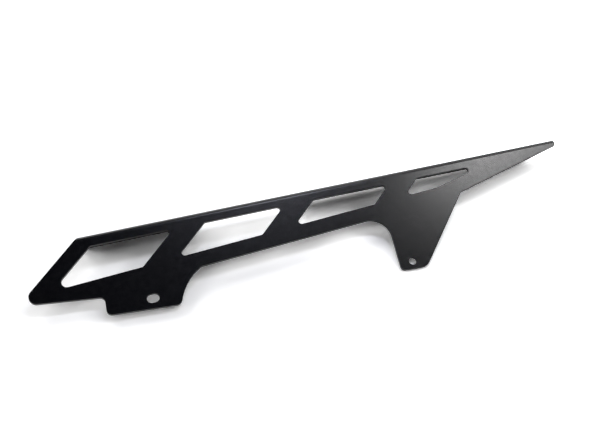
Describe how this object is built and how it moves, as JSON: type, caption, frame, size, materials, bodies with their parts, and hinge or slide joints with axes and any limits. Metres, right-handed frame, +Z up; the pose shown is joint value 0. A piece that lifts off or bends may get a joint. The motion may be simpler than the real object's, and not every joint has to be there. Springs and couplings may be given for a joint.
{
  "type": "motorcycle chain guard",
  "caption": "Folded sheet cover for a motorcycle drive chain: long plate with slanted windows, a lip along its straight top edge, a slotted front tab and a drilled rear tab",
  "frame": {"origin": "on the table, under the middle of the guard's bounding box", "axes": "+X along the fold towards the pointed tail, +Y from the tabs to the fold, +Z up, with the show face up as the guard lies at rest"},
  "size_m": [0.5016, 0.0984, 0.0231],
  "materials": {
    "black_coat": "satin powder coat"
  },
  "bodies": {
    "root": {"chain_guard": "black_coat"}
  },
  "joints": []
}
